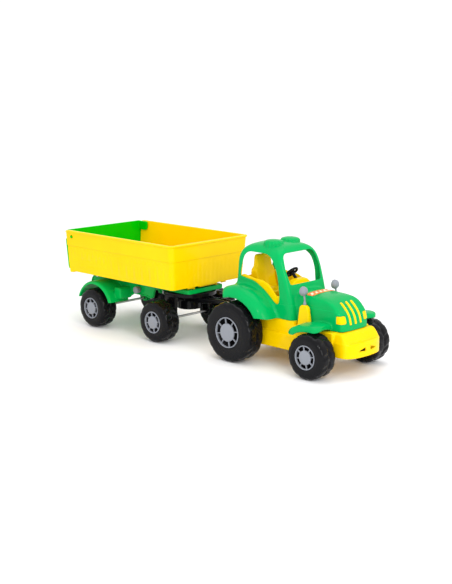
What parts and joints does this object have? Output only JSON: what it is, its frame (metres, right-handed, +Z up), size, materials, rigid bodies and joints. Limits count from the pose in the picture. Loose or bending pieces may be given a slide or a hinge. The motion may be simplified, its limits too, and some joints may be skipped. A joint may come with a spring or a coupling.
{
  "type": "toy tractor",
  "caption": "Moulded plastic toy farm tractor with an open cab, towing a steerable trailer that has a tipping cargo bed and a swinging tailgate.",
  "frame": {"origin": "on the ground plane, at the middle of the rig's length and width", "axes": "+X forward towards the tractor's nose, +Y to the driver's left, +Z up; the trailer stands straight behind the tractor at rest"},
  "size_m": [0.594, 0.1842, 0.187],
  "materials": {
    "tractor_green": "glossy injection-moulded",
    "trailer_green": "glossy injection-moulded",
    "yellow": "glossy injection-moulded",
    "black": "glossy hard plastic",
    "grey": "satin",
    "steel": "drawn wire",
    "sticker": null
  },
  "bodies": {
    "tractor": {"tractor_chassis": "yellow", "tractor_body_shell": "tractor_green", "nose_insert": "yellow", "hood_sticker": "sticker", "cab_interior": "yellow", "driver_seat": "yellow", "hitch_pin": "grey", "front_axle": "steel", "rear_axle": "steel"},
    "steering": {"steering_wheel": "black"},
    "mirror_l": {"mirror_left": "grey"},
    "mirror_r": {"mirror_right": "grey"},
    "wheel_front_left": {"front_left_tyre": "black", "front_left_hub": "grey"},
    "wheel_front_right": {"front_right_tyre": "black", "front_right_hub": "grey"},
    "wheel_rear_left": {"rear_left_tyre": "black", "rear_left_hub": "grey"},
    "wheel_rear_right": {"rear_right_tyre": "black", "rear_right_hub": "grey"},
    "dolly": {"dolly_frame": "black", "kingpin": "steel", "dolly_axle": "steel"},
    "wheel_dolly_left": {"dolly_left_tyre": "black", "dolly_left_hub": "grey"},
    "wheel_dolly_right": {"dolly_right_tyre": "black", "dolly_right_hub": "grey"},
    "trailer": {"trailer_chassis": "trailer_green", "trailer_axle": "steel", "bed_pivot_pin": "steel", "side_knob_left": "grey", "side_knob_right": "grey"},
    "wheel_trailer_left": {"trailer_left_tyre": "black", "trailer_left_hub": "grey"},
    "wheel_trailer_right": {"trailer_right_tyre": "black", "trailer_right_hub": "grey"},
    "bed": {"cargo_bed": "yellow"},
    "gate": {"tailgate": "trailer_green"}
  },
  "joints": [
    {"name": "front_left_spin", "type": "hinge", "parent": "tractor", "child": "wheel_front_left", "pos_m": [0.245, 0.0665, 0.034], "axis": [0, 1, 0], "continuous": true},
    {"name": "front_right_spin", "type": "hinge", "parent": "tractor", "child": "wheel_front_right", "pos_m": [0.245, -0.0665, 0.034], "axis": [0, 1, 0], "continuous": true},
    {"name": "rear_left_spin", "type": "hinge", "parent": "tractor", "child": "wheel_rear_left", "pos_m": [0.0957, 0.071, 0.0468], "axis": [0, 1, 0], "continuous": true},
    {"name": "rear_right_spin", "type": "hinge", "parent": "tractor", "child": "wheel_rear_right", "pos_m": [0.0957, -0.071, 0.0468], "axis": [0, 1, 0], "continuous": true},
    {"name": "steering_turn", "type": "hinge", "parent": "tractor", "child": "steering", "pos_m": [0.149, 0, 0.136], "axis": [-0.7071, 0, 0.7071], "continuous": true},
    {"name": "mirror_left_swivel", "type": "hinge", "parent": "tractor", "child": "mirror_l", "pos_m": [0.2065, 0.0374, 0.12], "axis": [0, 0, 1], "continuous": true},
    {"name": "mirror_right_swivel", "type": "hinge", "parent": "tractor", "child": "mirror_r", "pos_m": [0.2065, -0.0374, 0.12], "axis": [0, 0, 1], "continuous": true},
    {"name": "hitch_yaw", "type": "hinge", "parent": "tractor", "child": "dolly", "pos_m": [0.05, 0, 0.0706], "axis": [0, 0, 1], "range_deg": [-50, 50]},
    {"name": "dolly_left_spin", "type": "hinge", "parent": "dolly", "child": "wheel_dolly_left", "pos_m": [-0.0765, 0.0692, 0.034], "axis": [0, 1, 0], "continuous": true},
    {"name": "dolly_right_spin", "type": "hinge", "parent": "dolly", "child": "wheel_dolly_right", "pos_m": [-0.0765, -0.0692, 0.034], "axis": [0, 1, 0], "continuous": true},
    {"name": "dolly_steer", "type": "hinge", "parent": "dolly", "child": "trailer", "pos_m": [-0.0765, 0, 0.0785], "axis": [0, 0, 1], "range_deg": [-30, 30]},
    {"name": "trailer_left_spin", "type": "hinge", "parent": "trailer", "child": "wheel_trailer_left", "pos_m": [-0.234, 0.0699, 0.034], "axis": [0, 1, 0], "continuous": true},
    {"name": "trailer_right_spin", "type": "hinge", "parent": "trailer", "child": "wheel_trailer_right", "pos_m": [-0.234, -0.0699, 0.034], "axis": [0, 1, 0], "continuous": true},
    {"name": "bed_tip", "type": "hinge", "parent": "trailer", "child": "bed", "pos_m": [-0.27, 0, 0.08], "axis": [0, -1, 0], "range_deg": [0, 45]},
    {"name": "tailgate_swing", "type": "hinge", "parent": "bed", "child": "gate", "pos_m": [-0.279, 0, 0.155], "axis": [0, 1, 0], "range_deg": [0, 100]}
  ]
}
